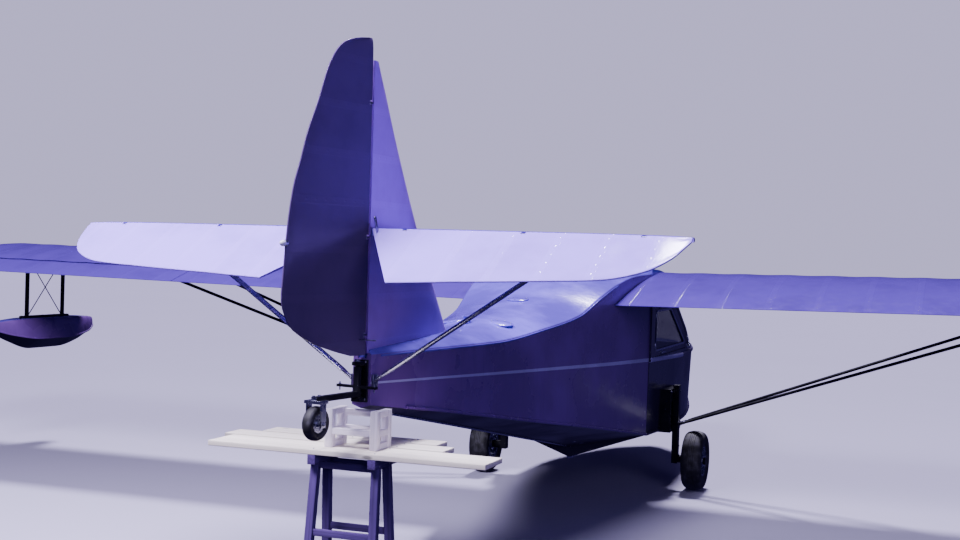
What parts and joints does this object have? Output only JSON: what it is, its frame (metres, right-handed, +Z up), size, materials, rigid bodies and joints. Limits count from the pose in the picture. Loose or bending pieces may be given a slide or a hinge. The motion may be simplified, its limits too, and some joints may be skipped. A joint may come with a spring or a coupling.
{
  "type": "light amphibious flying boat",
  "caption": "High-wing two-seat flying boat with stepped hull, cruciform tail, tip floats and wheels, parked without engine, tail propped level on a wooden trestle",
  "frame": {"origin": "on the ground, at the middle of the object's box in plan", "axes": "+X to starboard, +Y to the nose, +Z up"},
  "size_m": [11.1178, 7.325, 2.722],
  "materials": {
    "hull_paint": "gloss indigo blue paint over sheathed plywood, with a pale stripe",
    "light_paint": "satin off-white paint on decks, roof and tail",
    "doped_fabric": "off-white doped fabric over ribs, satin",
    "bare_alloy": "bare light alloy, worn",
    "dark_steel": "dark painted steel tube",
    "panel_black": "matt black panel",
    "tyre_rubber": "black rubber, dusty",
    "clear_sheet": "clear acrylic sheet",
    "seat_cover": "dark vinyl seat cover",
    "weathered_wood": "grey weathered softwood",
    "pale_wood": "new pale softwood boards"
  },
  "bodies": {
    "airframe": {"hull_afterbody": "hull_paint", "hull_forebody": "hull_paint", "cabin_frame": "hull_paint", "wing_center_section": "light_paint", "pylon_base": "bare_alloy", "windshield": "clear_sheet", "quarter_glass_left": "clear_sheet", "quarter_glass_right": "clear_sheet", "seat_cushion": "seat_cover", "seat_back": "seat_cover", "instrument_panel": "panel_black", "control_column": "dark_steel", "wing_left": "doped_fabric", "wing_right": "doped_fabric", "tip_float_left": "hull_paint", "tip_float_right": "hull_paint", "float_struts_left": "dark_steel", "float_struts_right": "dark_steel", "lift_strut_front_left": "dark_steel", "lift_strut_front_right": "dark_steel", "lift_strut_rear_left": "dark_steel", "lift_strut_rear_right": "dark_steel", "fin": "light_paint", "stabilizer_left": "light_paint", "stabilizer_right": "light_paint", "tail_strut_left": "bare_alloy", "tail_strut_right": "bare_alloy", "gear_leg_left": "dark_steel", "gear_leg_right": "dark_steel", "tail_bracket": "dark_steel", "stand_trestle": "weathered_wood", "stand_crib": "pale_wood", "stand_plank_1": "pale_wood", "stand_plank_2": "pale_wood", "stand_plank_3": "pale_wood"},
    "rudder_body": {"rudder": "doped_fabric", "tail_light": "clear_sheet"},
    "elevator_left_body": {"elevator_left": "doped_fabric"},
    "elevator_right_body": {"elevator_right": "doped_fabric"},
    "aileron_left_body": {"aileron_left": "doped_fabric"},
    "aileron_right_body": {"aileron_right": "doped_fabric"},
    "hatch_left_body": {"hatch_left": "hull_paint", "hatch_glass_left": "clear_sheet"},
    "hatch_right_body": {"hatch_right": "hull_paint", "hatch_glass_right": "clear_sheet"},
    "wheel_left_body": {"wheel_hub_left": "bare_alloy", "tyre_left": "tyre_rubber"},
    "wheel_right_body": {"wheel_hub_right": "bare_alloy", "tyre_right": "tyre_rubber"},
    "tail_fork_body": {"tailwheel_fork": "dark_steel"},
    "tail_wheel_body": {"tailwheel_hub": "bare_alloy", "tailwheel_tyre": "tyre_rubber"}
  },
  "joints": [
    {"name": "rudder_hinge", "type": "hinge", "parent": "airframe", "child": "rudder_body", "pos_m": [0, -3.0375, 1.9], "axis": [0, 0, 1], "range_deg": [-15, 35]},
    {"name": "elevator_right_hinge", "type": "hinge", "parent": "airframe", "child": "elevator_right_body", "pos_m": [0.78, -3.0375, 1.816], "axis": [1, 0, 0], "range_deg": [-52, 0]},
    {"name": "elevator_left_hinge", "type": "hinge", "parent": "airframe", "child": "elevator_left_body", "pos_m": [-0.78, -3.0375, 1.816], "axis": [1, 0, 0], "range_deg": [-52, 0]},
    {"name": "aileron_right_hinge", "type": "hinge", "parent": "airframe", "child": "aileron_right_body", "pos_m": [3.99893, 0.1025, 1.50531], "axis": [0.9999, 0, 0.014], "range_deg": [-20, 20]},
    {"name": "aileron_left_hinge", "type": "hinge", "parent": "airframe", "child": "aileron_left_body", "pos_m": [-3.99893, 0.1025, 1.50531], "axis": [0.9999, 0, -0.014], "range_deg": [-20, 20]},
    {"name": "hatch_right_hinge", "type": "hinge", "parent": "airframe", "child": "hatch_right_body", "pos_m": [0.595, 1.0225, 1.39], "axis": [0, -1, 0], "range_deg": [0, 70]},
    {"name": "hatch_left_hinge", "type": "hinge", "parent": "airframe", "child": "hatch_left_body", "pos_m": [-0.595, 1.0225, 1.39], "axis": [0, 1, 0], "range_deg": [0, 70]},
    {"name": "wheel_right_spin", "type": "hinge", "parent": "airframe", "child": "wheel_right_body", "pos_m": [0.83, 1.0825, 0.22], "axis": [1, 0, 0], "continuous": true},
    {"name": "wheel_left_spin", "type": "hinge", "parent": "airframe", "child": "wheel_left_body", "pos_m": [-0.83, 1.0825, 0.22], "axis": [1, 0, 0], "continuous": true},
    {"name": "tailwheel_swivel", "type": "hinge", "parent": "airframe", "child": "tail_fork_body", "pos_m": [0, -3.0875, 1.1], "axis": [0, 0, 1], "range_deg": [-15, 35]},
    {"name": "tailwheel_spin", "type": "hinge", "parent": "tail_fork_body", "child": "tail_wheel_body", "pos_m": [-0.05383, -3.39279, 0.95], "axis": [0.9848, -0.1736, 0], "continuous": true}
  ],
  "couplings": [
    {"joint": "elevator_left_hinge", "follows": "elevator_right_hinge", "ratio": 1},
    {"joint": "aileron_left_hinge", "follows": "aileron_right_hinge", "ratio": -1},
    {"joint": "tailwheel_swivel", "follows": "rudder_hinge", "ratio": 1}
  ]
}
